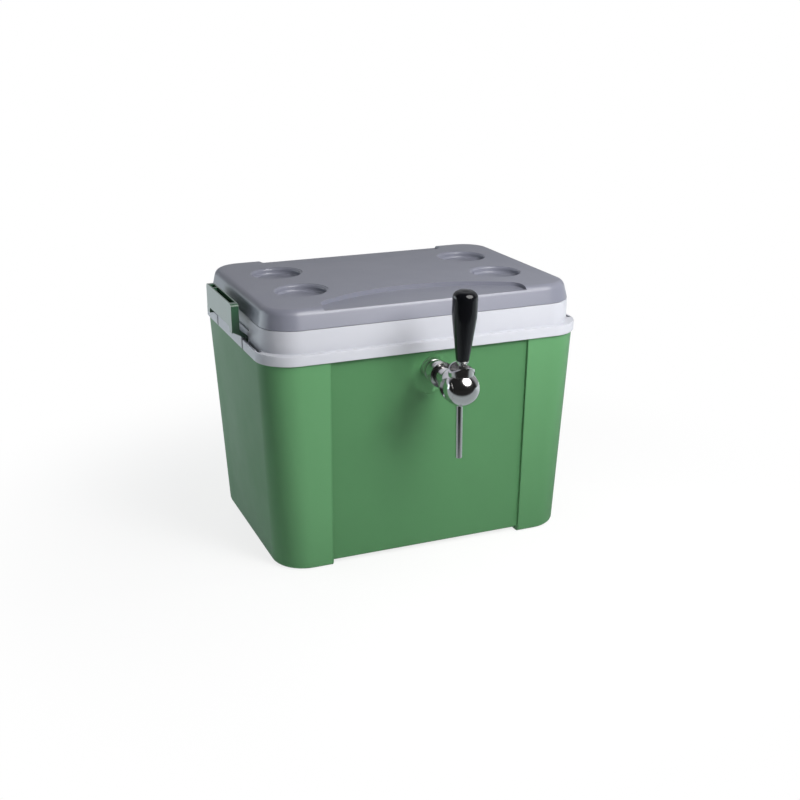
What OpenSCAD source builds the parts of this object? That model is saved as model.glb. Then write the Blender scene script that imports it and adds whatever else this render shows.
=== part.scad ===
// Jockey box beer cooler: an insulated box with a ball tap on its front wall,
// a stainless cooling coil in its ice space and a beer inlet in its back wall.
// The frame's origin is the middle of the base, +Z is up and the tap faces -Y.

/* [Tub] */
// Outside width of the tub at its top edge
tub_top_w = 465; // [440:1:500]
// Outside depth of the tub at its top edge
tub_top_d = 342; // [325:1:370]
// Outside width of the tub at its base
tub_base_w = 435.5; // [420:0.5:455]
// Outside depth of the tub at its base
tub_base_d = 318; // [310:0.5:330]
// Height of the tub up to the underside of the flange
tub_h = 298.3; // [280:0.1:330]
// Radius of the tub's upright corners
tub_corner_r = 47; // [40:1:60]
// Radius of the tub's bottom edge
foot_r = 6; // [3:0.5:9]
// Thickness of the tub's outer skin
skin_t = 2.5; // [2:0.1:3.5]
// Depth of the sunk middle panels on the front and the back
panel_depth = 4; // [2:0.5:6]
// Half width of those panels at the base
panel_base_half_w = 143; // [130:1:155]
// Half width of those panels at the top
panel_top_half_w = 145; // [130:1:155]
// Height of the feet below the middle panels
foot_h = 5; // [3:0.5:8]
// Thickness of the insulated wall, from the corner posts' face to the ice space
wall_t = 27; // [24:0.5:32]

/* [Liner] */
// Thickness of the liner in the ice space
liner_t = 2; // [1.5:0.1:3]
// Height of the ice space's floor
floor_z = 32; // [26:1:45]
// Radius of the upright corners of the ice space
basin_corner_r = 28; // [20:1:40]
// How far the flange stands out past the tub's long sides
flange_over_d = 3.5; // [2:0.1:6]
// How far the flange stands out past the tub's ends
flange_over_w = 2.5; // [2:0.1:6]
// Height of the flange's outer face
flange_h = 13.7; // [12.5:0.1:18]
// Height of the collar above the flange
collar_h = 30.2; // [26:0.1:36]
// How far the collar stands back from the flange's face
ledge_w = 8.5; // [8.5:0.1:12]
// Thickness of the collar's outer skin
collar_t = 5.5; // [5.3:0.1:7]

/* [Lid] */
// Height of the lid above the collar
lid_h = 26.3; // [22:0.1:34]
// How far each end of the lid leans in over its height
lid_lean_w = 5; // [3:0.5:8]
// How far the lid's front and back lean in over its height
lid_lean_d = 7.5; // [5:0.5:10]
// Radius of the lid's top edge
lid_edge_r = 8; // [5:0.5:10]
// Rise of the lid's top in the middle
lid_crown = 2.4; // [1:0.1:4]
// Thickness of the lid's shell
lid_t = 2.5; // [2:0.1:3.5]
// Depth of the plug under the lid
plug_h = 14; // [8:1:22]
// Gap between the plug and the ice space's walls
plug_gap = 3; // [2:0.5:6]
// Mouth radius of a cup holder
cup_r = 36.5; // [30:0.5:40]
// Depth of a cup holder
cup_depth = 9; // [6:0.5:12]
// Distance from the lid's middle to a cup holder along X
cup_x = 148; // [140:1:160]
// Distance from the lid's middle to a cup holder along Y
cup_y = 58; // [50:1:66]
// Depth of the finger recesses in the lid's long edges
recess_depth = 4.5; // [3:0.5:6]
// Half width of a finger recess
recess_half_w = 147; // [130:1:160]
// Radius of a finger recess's curved edge
recess_r = 264; // [240:1:300]
// Distance from the lid's middle to the top of that curve
recess_reach = 88; // [80:1:100]

/* [Side handles] */
// Length of a side handle
handle_len = 138; // [120:1:160]
// Thickness of a side handle
handle_t = 10.5; // [9:0.5:14]
// Height of a side handle's top edge above the flange
handle_top = 50; // [44:1:58]
// Height of a side handle's ends above the flange
handle_foot = 9.5; // [8:0.5:14]
// Rise of the arched finger edge under a side handle
handle_arch = 8; // [6:0.5:10]
// How far a side handle's face stands out past the flange
handle_out = 13.5; // [13:0.5:18]
// Thickness of the walls round a side handle's pockets
handle_wall = 1.7; // [1.5:0.1:2.5]
// Width of a handle's arms
arm_w = 4; // [3:0.1:5]
// Radius of the steel pins that the handles turn on
pin_r = 2; // [1.5:0.1:2.2]
// Radius of the round end of a handle's arm
arm_r = 3.5; // [3.2:0.1:3.7]
// Turn of a side handle from upright to folded out and down, in degrees
handle_fold = 116; // [90:1:116]

/* [Tap] */
// Distance from the tub's top edge down to the tap's axis
tap_drop = 25.8; // [24.3:0.1:40]
// Distance from the wall to the middle of the tap's ball
tap_reach = 97; // [92:0.5:110]
// Radius of the tap's ball
ball_r = 24; // [23.5:0.1:26]
// Length of the straight part behind the ball
ball_back = 14; // [12:0.5:16]
// Radius of the tap's barrel
barrel_r = 12.9; // [12.5:0.1:14]
// Radius of the caps that close the ball's sides
cap_r = 15; // [14.5:0.1:16]
// Height of the lever's pivot above the ball's middle
pivot_up = 8; // [7.5:0.1:8.5]
// Forward lean of the closed lever, in degrees
lever_lean = 4; // [2:0.5:5]
// Forward travel of the lever, in degrees
lever_travel = 14; // [10:1:14]
// Height of the bonnet's top above the ball's middle
bonnet_up = 31; // [30:0.5:33]
// Outside radius of the bonnet's rim
bonnet_r = 17.3; // [17.3:0.1:19]
// Radius of the bonnet's mouth
mouth_r = 15.2; // [15.2:0.1:15.4]
// Length of the lever's black grip
grip_len = 92; // [80:1:110]
// Largest radius of the grip
grip_r = 16.3; // [15.5:0.1:18]
// Radius of the grip's bottom end
grip_base_r = 8.6; // [8.5:0.1:10]
// Outside radius of the spout
spout_r = 4.6; // [4:0.1:5]
// Length of the spout below the ball
spout_len = 73.5; // [50:0.5:100]
// How far the spout stands behind the ball's middle
spout_back = 6; // [4:0.5:8]
// Outside radius of the threaded shank through the wall
shank_r = 11; // [10.5:0.1:11.2]
// Radius of the shank's beer passage
shank_bore_r = 5; // [4:0.1:6]
// Radius of the clear washer under the tap's flange
clear_washer_r = 30; // [24:1:34]

/* [Cooling coil] */
// Outside radius of the coil's tube
tube_r = 4; // [3.5:0.1:4.5]
// Radius of the coil, to the middle of its tube
coil_r = 98; // [92:0.5:100]
// Rise of one turn
coil_pitch = 10.5; // [10:0.1:11]
// Least straight rise of the tube from the coil's last turn to its bend to the shank
coil_rise = 8; // [4:1:60]
// Radius of the bends at the coil's ends
bend_r = 16; // [14:0.5:18]
// Radius from the coil's axis to the tube that comes down at the back
down_r = 108; // [106:0.5:111]

/* [Beer inlet] */
// Outside radius of the inlet's stem
stem_r = 4.76; // [4:0.01:6]
// Length of the inlet's stem outside its flange
stem_len = 24; // [15:1:40]
// Radius of the inlet's thread through the wall
inlet_r = 8; // [7.5:0.1:9]

/* [Fits] */
// Gap between the lid and the collar
lid_gap = 0.3; // [0.1:0.1:0.6]
// Gap round the foam and between seated pieces
seat_gap = 0.2; // [0.1:0.05:0.4]
// Radial clearance of a pin in its bore
pin_fit = 0.05; // [0.02:0.01:0.1]
// Thickness of the washers against the tub's walls
washer_t = 1.6; // [1:0.1:3]

/* [Hidden] */
$fn = 64;
corner_fn = 40;
film = 0.01;
cut = 1;
far = 600;

// Derived heights and faces
tap_z = tub_h - tap_drop;
flange_top = tub_h + flange_h;
rim_z = flange_top + collar_h;
lid_z = rim_z + lid_gap;
flange_w = tub_top_w + 2 * flange_over_w;
flange_d = tub_top_d + 2 * flange_over_d;
collar_w = flange_w - 2 * ledge_w;
collar_d = flange_d - 2 * ledge_w - 2 * (flange_over_d - flange_over_w);
flange_corner_r = tub_corner_r + flange_over_w;
collar_corner_r = flange_corner_r - 3;
basin_foot_r = 10;
wall_lean = atan((tub_top_d - tub_base_d) / 2 / tub_h);
wall_y = half_depth(tap_z) - panel_depth;
inner_y = half_depth(tap_z) - wall_t;

function half_depth(z) = (tub_base_d + (tub_top_d - tub_base_d) * z / tub_h) / 2;
function half_width(z) = (tub_base_w + (tub_top_w - tub_base_w) * z / tub_h) / 2;

// A section is [width, depth, corner radius, height]; in_w and in_d draw the walls in
function tub_section(z, in_w, in_d, r) = [2 * (half_width(z) - in_w), 2 * (half_depth(z) - in_d), r, z];
function round_foot(z, in_w, in_d, r, foot) = [for (a = [0:30:90])
    tub_section(z + foot * (1 - sin(a)), in_w + foot * (1 - cos(a)), in_d + foot * (1 - cos(a)),
        r - foot * (1 - cos(a)))];
function straight(w, d, r, z0, z1, ease) = [
    [w - ease, d - ease, r - ease / 2, z0], [w, d, r, z0 + ease],
    [w, d, r, z1 - ease], [w - ease, d - ease, r - ease / 2, z1 - film]];

module section_posts(s) {
    for (sx = [-1, 1], sy = [-1, 1])
        translate([sx * (s[0] / 2 - s[2]), sy * (s[1] / 2 - s[2]), s[3]])
            cylinder(r = s[2], h = film, $fn = corner_fn);
}

// A shell or block with round corners, lofted through its sections
module loft(sections) {
    hull()
        for (s = sections)
            section_posts(s);
}

module ring(r_out, r_in, h) {
    difference() {
        cylinder(r = r_out, h = h);
        translate([0, 0, -cut])
            cylinder(r = r_in, h = h + 2 * cut);
    }
}

module round_bar(w, h, r) {
    square([w - 2 * r, h], center = true);
    square([w, h - 2 * r], center = true);
    for (sx = [-1, 1], sy = [-1, 1])
        translate([sx * (w / 2 - r), sy * (h / 2 - r)])
            circle(r);
}

// Places on the walls at the tap's height: side -1 is the front and 1 is the back.
// Local +Z points out of the wall, or into the ice space.
module outside(side) {
    translate([0, side * wall_y, tap_z])
        rotate([-90 * side, 0, 0])
            children();
}

module inside(side) {
    translate([0, side * inner_y, tap_z])
        rotate([90 * side, 0, 0])
            children();
}

module along_wall(side) {
    rotate([-side * wall_lean, 0, 0])
        children();
}

module wall_hole(side, r) {
    over = 10;
    outside(side)
        translate([0, 0, -wall_t - over])
            cylinder(r = r, h = wall_t + 3 * over);
}

// Tub ---------------------------------------------------------------------

base_step = 20;
shank_hole_r = shank_r + 3.2;
inlet_hole_r = inlet_r + 2.6;

// The corner posts keep the full depth, the middle panels are sunk
module corner_zone() {
    for (sx = [-1, 1])
        scale([sx, 1, 1])
            rotate([90, 0, 0])
                linear_extrude(height = far, center = true)
                    polygon([[panel_base_half_w, -cut], [panel_top_half_w, tub_h + cut],
                        [far, tub_h + cut], [far, -cut]]);
}

module outer_shell() {
    color([0.35, 0.55, 0.38])
        difference() {
            union() {
                loft(concat(round_foot(foot_h, 0, panel_depth, tub_corner_r, foot_r),
                    [tub_section(tub_h - film, 0, panel_depth, tub_corner_r)]));
                intersection() {
                    loft(concat(round_foot(0, 0, 0, tub_corner_r, foot_r),
                        [tub_section(tub_h - film, 0, 0, tub_corner_r)]));
                    corner_zone();
                }
                loft([tub_section(0, base_step, base_step, tub_corner_r - base_step),
                    tub_section(foot_h + skin_t, base_step, base_step, tub_corner_r - base_step)]);
            }
            loft([tub_section(foot_h + skin_t, skin_t, panel_depth + skin_t, tub_corner_r - skin_t),
                tub_section(tub_h + cut, skin_t, panel_depth + skin_t, tub_corner_r - skin_t)]);
            wall_hole(-1, shank_hole_r);
            wall_hole(1, inlet_hole_r);
        }
}

// The ice space's form, grown by g: its inside is g = 0 and its outside is g = liner_t
module basin_form(g, top) {
    loft(concat(round_foot(floor_z - g, wall_t - g, wall_t - g, basin_corner_r + g, basin_foot_r),
        [tub_section(top, wall_t - g, wall_t - g, basin_corner_r + g)]));
}

// Space under the rim that the foam reaches into, drawn in by g
module rim_space(g) {
    translate([0, 0, tub_h - cut])
        linear_extrude(height = collar_h + flange_h - skin_t - g + cut)
            round_bar(collar_w - 2 * (collar_t + g), collar_d - 2 * (collar_t + g),
                collar_corner_r - collar_t - g);
}

module foam_insulation() {
    foam_in = skin_t + seat_gap;
    color([0.93, 0.86, 0.62])
        difference() {
            union() {
                loft([tub_section(foot_h + foam_in, foam_in, panel_depth + foam_in, tub_corner_r - foam_in),
                    tub_section(tub_h - seat_gap, foam_in, panel_depth + foam_in, tub_corner_r - foam_in)]);
                rim_space(seat_gap);
            }
            basin_form(liner_t + seat_gap, rim_z + cut);
            wall_hole(-1, shank_hole_r);
            wall_hole(1, inlet_hole_r);
        }
}

// Liner with its flange and collar -----------------------------------------

pivot_x = flange_w / 2 - 7.2;
pivot_z = flange_top - 6.8;
trough_out = flange_w / 2 - 3.2;
trough_in = collar_w / 2 + 0.4;
trough_floor = pivot_z - arm_r - 0.4;
slot_floor = tub_h + 2;
trough_len = 270;
lug_w = 6;
arm_y = handle_len / 2 - arm_w / 2;
slot_w = arm_w + 1.8;
lug_top = pivot_z + arm_r;

// Everything that the side handles need, cut into the rim at the +X end
module handle_cuts() {
    for (sy = [-1, 1]) {
        lug_end = arm_y + slot_w / 2 + lug_w;
        translate([trough_in, sy > 0 ? lug_end : -trough_len / 2, trough_floor])
            cube([trough_out - trough_in, trough_len / 2 - lug_end, far]);
        translate([pivot_x - arm_r - 0.5, sy * arm_y - slot_w / 2, slot_floor])
            cube([flange_w, slot_w, flange_top + 1 - slot_floor]);
        translate([tub_top_w / 2 + 0.3, sy * arm_y - slot_w / 2, tub_h - cut])
            cube([flange_w, slot_w, flange_h]);
        translate([pivot_x, sy * arm_y, pivot_z])
            rotate([90, 0, 0])
                cylinder(r = pin_r + pin_fit / 2, h = slot_w + 2 * lug_w + 2, center = true);
    }
    translate([trough_in, -trough_len / 2, lug_top])
        cube([trough_out - trough_in, trough_len, far]);
    inner_end = arm_y - slot_w / 2 - lug_w;
    translate([trough_in, -inner_end, trough_floor])
        cube([trough_out - trough_in, 2 * inner_end, far]);
    translate([collar_w / 2 - 2.5, -handle_len / 2 - 5, flange_top + 12])
        cube([flange_w, handle_len + 10, far]);
}

// Raised tongue between the slots of one handle
module handle_tongue() {
    tongue_h = 10;
    translate([trough_out, 0, flange_top + 3.5 - tongue_h / 2])
        rotate([90, 0, 90])
            linear_extrude(height = flange_w / 2 - trough_out)
                round_bar(2 * arm_y - slot_w, tongue_h, 3.5);
}

module inner_liner() {
    color([0.82, 0.84, 0.86])
        difference() {
            union() {
                difference() {
                    union() {
                        loft(straight(flange_w, flange_d, flange_corner_r, tub_h, flange_top, 1.2));
                        loft(straight(collar_w, collar_d, collar_corner_r, flange_top - 2, rim_z, 1));
                    }
                    rim_space(0);
                    for (turn = [0, 180])
                        rotate([0, 0, turn])
                            handle_cuts();
                }
                basin_form(liner_t, rim_z - film);
                for (turn = [0, 180])
                    rotate([0, 0, turn])
                        handle_tongue();
            }
            basin_form(0, rim_z + cut);
            wall_hole(-1, shank_hole_r);
            wall_hole(1, inlet_hole_r);
        }
}

module handle_pins() {
    color([0.75, 0.76, 0.78])
        for (sx = [-1, 1], sy = [-1, 1])
            translate([sx * pivot_x, sy * arm_y, pivot_z])
                rotate([90, 0, 0])
                    cylinder(r = pin_r, h = slot_w + 2 * lug_w, center = true);
}

// Side handles --------------------------------------------------------------

// A hollow grip bar with two arms; drawn at the +X end
module side_handle() {
    face_x = flange_w / 2 + handle_out;
    back_x = face_x - handle_t;
    top_z = flange_top + handle_top;
    foot_z = flange_top + handle_foot;
    bar_z = foot_z + handle_arch;
    pocket_floor = bar_z + 3;
    end_w = 11;
    rib = 3;
    short_pocket = 20;
    pocket_w = handle_t - 2 * handle_wall;
    difference() {
        union() {
            translate([back_x, 0, (top_z + foot_z) / 2])
                rotate([90, 0, 90])
                    linear_extrude(height = handle_t)
                        difference() {
                            round_bar(handle_len, top_z - foot_z, 4);
                            translate([0, -(top_z - foot_z) / 2])
                                round_bar(handle_len - 26, 2 * handle_arch, 6);
                        }
            for (sy = [-1, 1])
                translate([0, sy * arm_y + arm_w / 2, 0])
                    rotate([90, 0, 0])
                        linear_extrude(height = arm_w)
                            arm_outline(face_x, back_x, foot_z);
        }
        translate([back_x + handle_wall, -handle_len / 2 + end_w, pocket_floor])
            cube([pocket_w, short_pocket, far]);
        translate([back_x + handle_wall, -handle_len / 2 + end_w + short_pocket + rib, pocket_floor])
            cube([pocket_w, handle_len - 2 * end_w - short_pocket - rib, far]);
        for (sy = [-1, 1])
            translate([pivot_x, sy * arm_y, pivot_z])
                rotate([90, 0, 0])
                    cylinder(r = pin_r + pin_fit, h = 2 * arm_w, center = true);
    }
}

module arm_outline(face_x, back_x, foot_z) {
    knee = pivot_z + 9.5;
    neck = 1.5;
    translate([pivot_x, pivot_z])
        circle(arm_r);
    polygon([[pivot_x + neck, pivot_z], [pivot_x + neck, knee - 1], [face_x - 2, foot_z + 1],
        [face_x, foot_z + 5], [back_x, foot_z + 5], [collar_w / 2 + 0.5, knee + 2],
        [collar_w / 2 + 0.5, pivot_z + arm_r / 2], [pivot_x - arm_r, pivot_z]]);
}

// The right handle is drawn folded out and down, the left one upright
module right_handle() {
    color([0.38, 0.58, 0.42])
        translate([pivot_x, 0, pivot_z])
            rotate([0, handle_fold, 0])
                translate([-pivot_x, 0, -pivot_z])
                    side_handle();
}

module left_handle() {
    color([0.38, 0.58, 0.42])
        rotate([0, 0, 180])
            side_handle();
}

// Lid -----------------------------------------------------------------------

lid_top = lid_z + lid_h;

// The lid's sections from its bottom edge to its crown, all drawn in by t
function lid_in(z) = (z - lid_z) / lid_h;
function lid_section(z, in, t) = [collar_w - 2 * (lid_lean_w * lid_in(z) + in + t),
    collar_d - 2 * (lid_lean_d * lid_in(z) + in + t), collar_corner_r - lid_lean_w * lid_in(z) - in - t];
function with_z(s, z) = [s[0], s[1], s[2], z];
function lid_sections(t, bottom) = concat(
    [with_z(lid_section(lid_z, 0.8, t), bottom), with_z(lid_section(lid_z, 0, t), lid_z + 1)],
    [for (a = [0:18:90]) with_z(
        lid_section(lid_top - lid_edge_r * (1 - sin(a)), lid_edge_r * (1 - cos(a)), t),
        lid_top - lid_edge_r * (1 - sin(a)) - t - film)],
    [for (f = [0.88, 0.74, 0.58, 0.42, 0.26, 0.1]) [f * collar_w, f * collar_d, f * collar_corner_r,
        lid_top + lid_crown * (1 - f * f) - t - film]]);

module cups(grow, drop) {
    for (sx = [-1, 1], sy = [-1, 1])
        translate([sx * cup_x, sy * cup_y, lid_top - cup_depth - drop])
            rotate_extrude()
                cup_outline(cup_r - 2 + grow);
}

// Half of a cup holder: a flat floor, a round foot and a rounded mouth
module cup_outline(r) {
    foot = 4;
    lip = 4;
    mouth = cup_depth + lid_crown / 2;
    square([r - foot, 2 * cup_depth]);
    translate([0, foot])
        square([r, 2 * cup_depth]);
    translate([r - foot, foot])
        circle(foot);
    difference() {
        translate([0, mouth - lip])
            square([r + lip, 2 * cup_depth]);
        translate([r + lip, mouth - lip])
            circle(lip);
    }
}

// Outline of the finger recess on the front edge, drawn in by g
module recess_outline(g) {
    corner = 20;
    offset(r = corner - g, $fn = 32)
        offset(delta = -corner)
            intersection() {
                translate([0, -recess_reach - recess_r])
                    circle(recess_r, $fn = 180);
                translate([-recess_half_w, -far / 2])
                    square([2 * recess_half_w, far / 2]);
            }
}

module recesses(g, drop) {
    for (turn = [0, 180])
        rotate([0, 0, turn])
            translate([0, 0, lid_top - recess_depth - drop])
                linear_extrude(height = far)
                    recess_outline(g);
}

module lid_shell() {
    color([0.56, 0.56, 0.6])
        difference() {
            loft(lid_sections(0, lid_z));
            difference() {
                loft(lid_sections(lid_t, lid_z - cut));
                cups(lid_t, lid_t);
                recesses(-lid_t, lid_t);
            }
            cups(0, 0);
            recesses(0, 0);
        }
}

pan_t = 2;

// Plate and plug that close the lid from below
module lid_liner() {
    plate_in = lid_t + 0.8 + seat_gap;
    color([0.85, 0.86, 0.88])
        difference() {
            union() {
                loft([with_z(lid_section(lid_z, 0, plate_in), lid_z),
                    with_z(lid_section(lid_z, 0, plate_in), lid_z + pan_t)]);
                loft([tub_section(rim_z - plug_h, wall_t + plug_gap, wall_t + plug_gap, basin_corner_r),
                    tub_section(lid_z + pan_t / 2, wall_t + plug_gap, wall_t + plug_gap, basin_corner_r)]);
            }
            loft([tub_section(rim_z - plug_h + pan_t, wall_t + plug_gap + pan_t,
                wall_t + plug_gap + pan_t, basin_corner_r - pan_t),
                tub_section(lid_z + pan_t + cut, wall_t + plug_gap + pan_t,
                wall_t + plug_gap + pan_t, basin_corner_r - pan_t)]);
        }
}

module lid_foam() {
    foam_t = lid_t + seat_gap;
    plug_in = wall_t + plug_gap + pan_t + seat_gap;
    color([0.93, 0.86, 0.62])
        difference() {
            union() {
                intersection() {
                    loft(lid_sections(foam_t, lid_z + 0.5));
                    translate([-far / 2, -far / 2, lid_z + pan_t + seat_gap])
                        cube(far);
                }
                loft([tub_section(rim_z - plug_h + pan_t + seat_gap, plug_in, plug_in, basin_corner_r - pan_t),
                    tub_section(lid_z + pan_t + 1, plug_in, plug_in, basin_corner_r - pan_t)]);
            }
            cups(foam_t, foam_t);
            recesses(-foam_t, foam_t);
        }
}

// Shank through the front wall ----------------------------------------------

flange_len = 22.5;
flange_r = 15;
ring_t = 1.6;
coupling_len = 12;
coupling_r = 17.5;
coupling_lip = 2.4;
tail_flange_t = 2.8;
tail_flange_r = 14;
thread_fit = 0.05;
nut_t = 8;
flange_s = washer_t + flange_r * tan(wall_lean) + 0.2;
ring_s = flange_s + flange_len;
coupling_s = ring_s + ring_t;
lip_s = coupling_s + coupling_len - coupling_lip;
shank_front = lip_s - tail_flange_t - 0.4;
coil_lead = 2 * tube_r;
shank_inner_end = coil_r + bend_r + coil_lead;

// Its hole is off its middle, so that its top stays below the flange
washer_drop = clear_washer_r - tap_drop + 2.5;

module clear_washer() {
    color([0.85, 0.9, 0.88, 0.5])
        outside(-1)
            along_wall(-1)
                translate([0, 0, 0.05])
                    difference() {
                        translate([0, -washer_drop, 0])
                            cylinder(r = clear_washer_r, h = washer_t);
                        translate([0, 0, -cut])
                            cylinder(r = shank_r + 0.6, h = washer_t + 2 * cut);
                    }
}

module shank_sleeve() {
    slant = shank_hole_r * tan(wall_lean) + 0.3;
    color([0.7, 0.7, 0.72])
        outside(-1)
            translate([0, 0, inner_y - wall_y + slant])
                ring(shank_hole_r - 0.1, shank_r + 0.1, wall_y - inner_y - 2 * slant);
}

module tap_shank() {
    color([0.8, 0.8, 0.82])
        outside(-1)
            translate([0, 0, shank_inner_end - wall_y])
                ring(shank_r, shank_bore_r, shank_front + wall_y - shank_inner_end);
}

module wall_flange() {
    lip_h = 3;
    color([0.8, 0.8, 0.82])
        outside(-1)
            translate([0, 0, flange_s])
                rotate_extrude()
                    difference() {
                        union() {
                            square([flange_r, flange_len - 2]);
                            square([flange_r - 1.5, flange_len]);
                            translate([0, flange_len - lip_h])
                                square([flange_r - 0.4, lip_h - 0.6]);
                        }
                        translate([0, -cut])
                            square([shank_r + thread_fit, flange_len + 2 * cut]);
                        translate([flange_r, flange_len / 2])
                            circle(1.2);
                    }
}

module flange_ring() {
    color([0.08, 0.08, 0.09])
        outside(-1)
            translate([0, 0, ring_s])
                ring(flange_r + 1.4, shank_r + thread_fit, ring_t);
}

module coupling_nut() {
    holes = 6;
    color([0.82, 0.82, 0.84])
        outside(-1)
            translate([0, 0, coupling_s])
                difference() {
                    rotate_extrude()
                        difference() {
                            union() {
                                translate([0, 1])
                                    square([coupling_r, coupling_len - 2]);
                                square([coupling_r - 1, coupling_len]);
                            }
                            translate([0, -cut])
                                square([shank_r + thread_fit, far]);
                            translate([0, shank_front - coupling_s - 0.1])
                                square([tail_flange_r + 0.1, lip_s - shank_front + 0.1]);
                            translate([0, lip_s - coupling_s - cut])
                                square([barrel_r - 0.8, far]);
                        }
                    for (i = [0:holes - 1])
                        rotate([0, 0, 360 * i / holes])
                            translate([coupling_r - 2, 0, coupling_len / 2])
                                rotate([0, 90, 0])
                                    cylinder(r = 1.6, h = 6);
                }
}

module inner_washer() {
    color([0.1, 0.1, 0.1])
        inside(-1)
            along_wall(-1)
                translate([0, 0, 0.05])
                    ring(shank_r + 8, shank_r + 0.3, washer_t);
}

module hex_nut(r, bore, h) {
    difference() {
        cylinder(r = r, h = h, $fn = 6);
        translate([0, 0, -cut])
            cylinder(r = bore, h = h + 2 * cut);
    }
}

nut_r = shank_r + 7;
nut_q = washer_t + nut_r * tan(wall_lean) + 0.1;

module shank_nut() {
    color([0.78, 0.7, 0.5])
        inside(-1)
            translate([0, 0, nut_q])
                hex_nut(nut_r, shank_r + thread_fit, nut_t);
}

// Union nut that draws a tube's end against the end of its shank: grip_l is the thread
// that it covers
module tail_nut(end_r, grip_l) {
    seal_room = 2.4;
    neck = coil_lead - 1;
    difference() {
        union() {
            translate([0, 0, -grip_l])
                cylinder(r = end_r + 4.5, h = grip_l + seal_room, $fn = 6);
            translate([0, 0, seal_room - film])
                cylinder(r = tube_r + 3, h = neck - seal_room);
        }
        translate([0, 0, -grip_l - cut])
            cylinder(r = end_r + thread_fit, h = grip_l + cut + seal_room - 1);
        cylinder(r = tube_r + 0.2, h = far);
    }
}

// Ends of the tube: local +Z runs along the tube, away from the shank's end
module tube_end(side) {
    end_y = side < 0 ? -shank_inner_end : down_y + bend_r + coil_lead;
    translate([0, end_y, tap_z])
        rotate([90 * side, 0, 0])
            children();
}

module shank_tail_nut() {
    color([0.78, 0.7, 0.5])
        tube_end(-1)
            tail_nut(shank_r, 5);
}

module tube_seals() {
    seal_t = 1.1;
    color([0.12, 0.12, 0.12]) {
        tube_end(-1)
            translate([0, 0, 0.1])
                ring(shank_r - 0.2, tube_r + 0.1, seal_t);
        tube_end(1)
            translate([0, 0, 0.1])
                ring(inlet_r - 0.2, tube_r + 0.1, seal_t);
    }
}

// Tap -----------------------------------------------------------------------

seat_s = tap_reach - 35;
chamber_r = 7.5;
seat_r = 5;
rod_r = 2.6;
yoke_r = 4.6;
finger_r = 2.5;
finger_fit = 0.15;
bonnet_foot = 17;
cap_in = 12;
slot_half = 4.1;
neck_r = bonnet_r - 1.1;
open_angle = lever_lean + lever_travel;

// Outline of the tap's body: s runs out along the barrel from the wall
module body_outline() {
    shoulder = ball_r - barrel_r;
    waist = tap_reach - ball_back - 1.7 * shoulder;
    intersection() {
        translate([0, shank_front + 0.2])
            square([far, far]);
        union() {
            translate([0, tap_reach])
                circle(ball_r);
            translate([0, tap_reach - ball_back])
                square([ball_r, ball_back]);
            difference() {
                translate([0, tap_reach - ball_back])
                    circle(ball_r);
                translate([barrel_r, -far + waist])
                    square([far, far]);
            }
            square([barrel_r, tap_reach]);
        }
    }
}

module tap_body() {
    start = shank_front + 0.2;
    thin_r = barrel_r - 0.9;
    thin_to = lip_s + coupling_lip + 2.7;
    color([0.82, 0.82, 0.84])
        difference() {
            outside(-1)
                difference() {
                    rotate_extrude($fn = 96)
                        difference() {
                            union() {
                                intersection() {
                                    body_outline();
                                    translate([0, thin_to])
                                        square(far);
                                }
                                translate([0, start])
                                    square([thin_r, thin_to - start + cut]);
                                translate([0, start])
                                    square([tail_flange_r, tail_flange_t]);
                            }
                            translate([-far, -far])
                                square([far, 2 * far]);
                            square([seat_r, tap_reach]);
                            square([chamber_r, seat_s]);
                        }
                }
            tap_centre()
                ball_cuts();
        }
}

module tap_centre() {
    translate([0, -wall_y - tap_reach, tap_z])
        children();
}

// Side bore, bonnet seat, lever slot and spout bore, from the ball's middle
module ball_cuts() {
    rotate([0, 90, 0])
        cylinder(r = cap_r + 0.2, h = 4 * ball_r, center = true);
    translate([0, 0, bonnet_foot])
        cylinder(r = neck_r + 0.1, h = ball_r);
    slot_front = (bonnet_foot - pivot_up) * tan(open_angle) + 0.6;
    for (y = [-slot_front, 0])
        translate([0, y, 0])
            cylinder(r = slot_half, h = ball_r);
    translate([-slot_half, -slot_front, 0])
        cube([2 * slot_half, slot_front, ball_r]);
    translate([0, spout_back, -2 * ball_r])
        cylinder(r = spout_r + 0.05, h = 2 * ball_r);
}

module barrel_ring() {
    color([0.06, 0.06, 0.07])
        outside(-1)
            translate([0, 0, lip_s + coupling_lip + 0.1])
                ring(barrel_r + 0.4, barrel_r - 0.85, 2.4);
}

module side_caps() {
    color([0.82, 0.82, 0.84])
        for (sx = [-1, 1])
            tap_centre()
                difference() {
                    rotate([0, 90 * sx, 0])
                        rotate_extrude($fn = 96)
                            intersection() {
                                circle(ball_r);
                                translate([0, cap_in])
                                    square([cap_r, ball_r]);
                            }
                    translate([0, 0, pivot_up])
                        rotate([0, 90, 0])
                            cylinder(r = 2.5 + pin_fit, h = 2 * (cap_in + 4.2), center = true);
                }
}

// Saddle-shaped collar that the lever comes out of
module bonnet() {
    arch_r = 22;
    arch_t = 3.2;
    color([0.82, 0.82, 0.84])
        tap_centre()
            difference() {
                union() {
                    intersection() {
                        translate([0, 0, bonnet_foot + 0.05])
                            cylinder(r = neck_r, h = ball_r);
                        translate([0, 0, bonnet_up - arch_r])
                            rotate([90, 0, 0])
                                cylinder(r = arch_r - arch_t / 2, h = 3 * ball_r, center = true);
                    }
                    intersection() {
                        cylinder(r = bonnet_r, h = 2 * ball_r);
                        translate([0, 0, bonnet_up - arch_r])
                            rotate([90, 0, 0])
                                difference() {
                                    cylinder(r = arch_r, h = 3 * ball_r, center = true);
                                    cylinder(r = arch_r - arch_t, h = 4 * ball_r, center = true);
                                }
                    }
                }
                cylinder(r = mouth_r, h = 3 * ball_r);
                sphere(ball_r + 0.1, $fn = 96);
                rotate([-90, 0, 0])
                    cylinder(r = ball_r + 0.1, h = ball_back);
            }
}

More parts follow.
